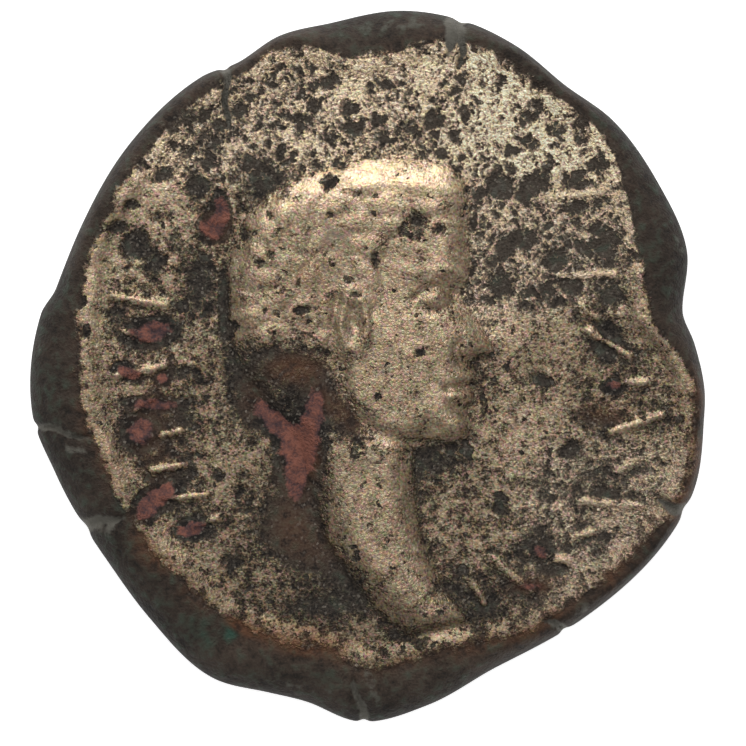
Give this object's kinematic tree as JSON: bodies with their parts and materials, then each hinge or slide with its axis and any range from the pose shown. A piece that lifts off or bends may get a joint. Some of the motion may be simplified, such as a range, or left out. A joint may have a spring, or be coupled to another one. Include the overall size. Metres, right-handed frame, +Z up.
{
  "type": "ancient bronze coin",
  "caption": "Worn struck bronze coin: an uneven, split flan with a plain head in low relief on one face and a worn wreath on the other.",
  "frame": {"origin": "middle of the bounding box's underside, on the plane that the coin lies on", "axes": "+Z up out of the obverse, +Y towards the crown of the head in relief, +X the way that head faces"},
  "size_m": [0.0266, 0.028, 0.0032],
  "materials": {
    "bronze": "struck leaded bronze, worn bare on the high parts, with a dark oxide patina, copper-red patches and pits"
  },
  "bodies": {
    "root": {"coin": "bronze"}
  },
  "joints": []
}
